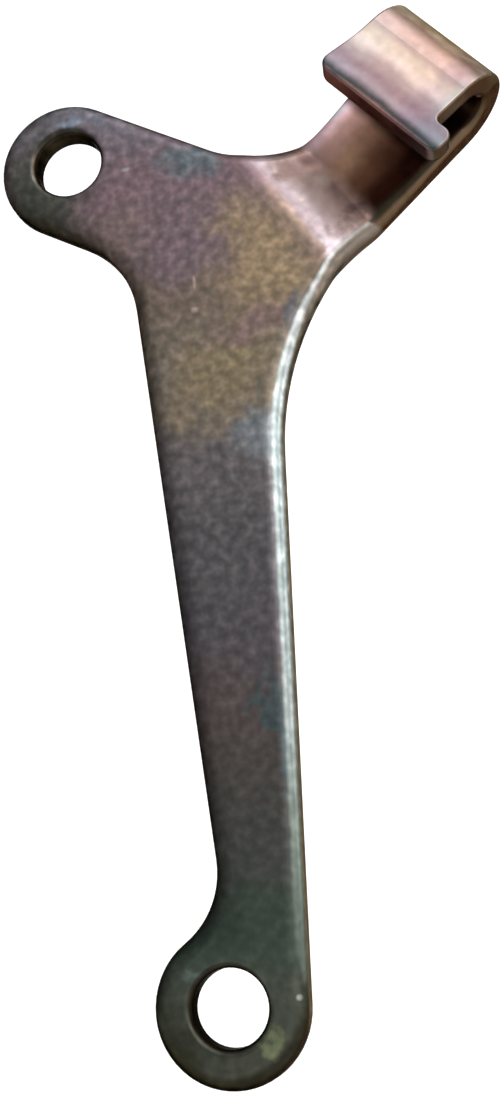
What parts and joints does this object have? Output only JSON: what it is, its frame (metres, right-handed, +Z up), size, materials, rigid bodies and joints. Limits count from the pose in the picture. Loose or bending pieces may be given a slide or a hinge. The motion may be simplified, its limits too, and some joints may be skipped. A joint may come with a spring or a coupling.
{
  "type": "clutch cable bracket",
  "caption": "Stamped steel bracket that bolts on at its ears and holds a clutch cable in a hook at the end of its stepped arm.",
  "frame": {"origin": "centre of the lower bolt hole, on the mounting face", "axes": "-Y points out of the front face, along the bolts and towards their heads; +Z runs up the plate from the lower ear to the arm; +X points to the side of the hook"},
  "size_m": [0.0669, 0.0141, 0.1292],
  "materials": {
    "plated_steel": "yellow chromate over zinc, satin, aged to olive, brown and purple"
  },
  "bodies": {
    "root": {"bracket": "plated_steel"}
  },
  "joints": []
}
